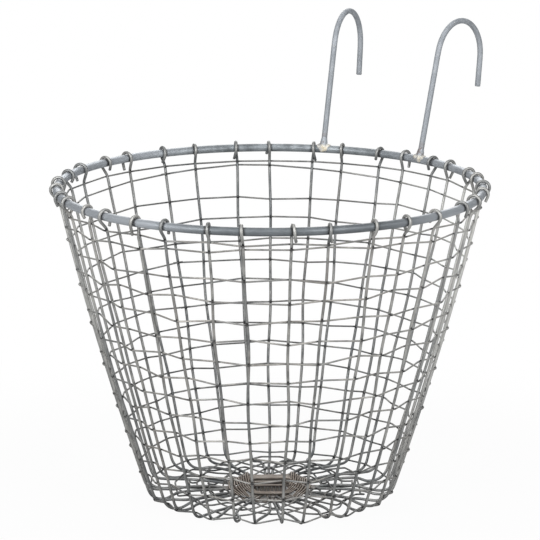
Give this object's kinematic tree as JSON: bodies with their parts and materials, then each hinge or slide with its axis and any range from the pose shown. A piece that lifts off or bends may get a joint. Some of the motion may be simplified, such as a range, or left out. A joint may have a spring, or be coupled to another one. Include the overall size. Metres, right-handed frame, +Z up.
{
  "type": "wire hanging basket",
  "caption": "Tapered round basket woven from galvanised wire, with a thick rim ring and a pair of welded hooks that hang it over a rail.",
  "frame": {"origin": "on the basket's axis at floor level, just under the flat underside of the hub", "axes": "+Z up towards the mouth, +Y to the back where the hooks are, +X to the right seen from the front"},
  "size_m": [0.2537, 0.3062, 0.2644],
  "materials": {
    "rim_zinc": "galvanised rod, dull bluish zinc",
    "hook_zinc": "galvanised rod, brighter zinc",
    "stake_zinc": "weathered galvanised wire",
    "weft_zinc": "thin weathered galvanised wire",
    "hub_wire": "browned thin binding wire",
    "weld_metal": "pale matt weld bead with flux"
  },
  "bodies": {
    "root": {"base_round_1": "weft_zinc", "base_round_2": "weft_zinc", "base_round_3": "weft_zinc", "base_round_4": "weft_zinc", "base_round_5": "weft_zinc", "corner_round": "weft_zinc", "hook_left": "hook_zinc", "hook_right": "hook_zinc", "hook_weld_left": "weld_metal", "hook_weld_right": "weld_metal", "hub_binding": "hub_wire", "lower_stake_wire_1": "stake_zinc", "lower_stake_wire_2": "stake_zinc", "lower_stake_wire_3": "stake_zinc", "lower_stake_wire_4": "stake_zinc", "lower_stake_wire_5": "stake_zinc", "lower_stake_wire_6": "stake_zinc", "lower_stake_wire_7": "stake_zinc", "lower_stake_wire_8": "stake_zinc", "lower_stake_wire_9": "stake_zinc", "rim_ring": "rim_zinc", "upper_stake_wire_1": "stake_zinc", "upper_stake_wire_2": "stake_zinc", "upper_stake_wire_3": "stake_zinc", "upper_stake_wire_4": "stake_zinc", "upper_stake_wire_5": "stake_zinc", "upper_stake_wire_6": "stake_zinc", "upper_stake_wire_7": "stake_zinc", "upper_stake_wire_8": "stake_zinc", "upper_stake_wire_9": "stake_zinc", "weft_round_01": "weft_zinc", "weft_round_02": "weft_zinc", "weft_round_03": "weft_zinc", "weft_round_04": "weft_zinc", "weft_round_05": "weft_zinc", "weft_round_06": "weft_zinc", "weft_round_07": "weft_zinc", "weft_round_08": "weft_zinc", "weft_round_09": "weft_zinc", "weft_round_10": "weft_zinc", "weft_round_11": "weft_zinc", "weft_round_12": "weft_zinc", "weft_round_13": "weft_zinc", "weft_round_14": "weft_zinc"}
  },
  "joints": []
}
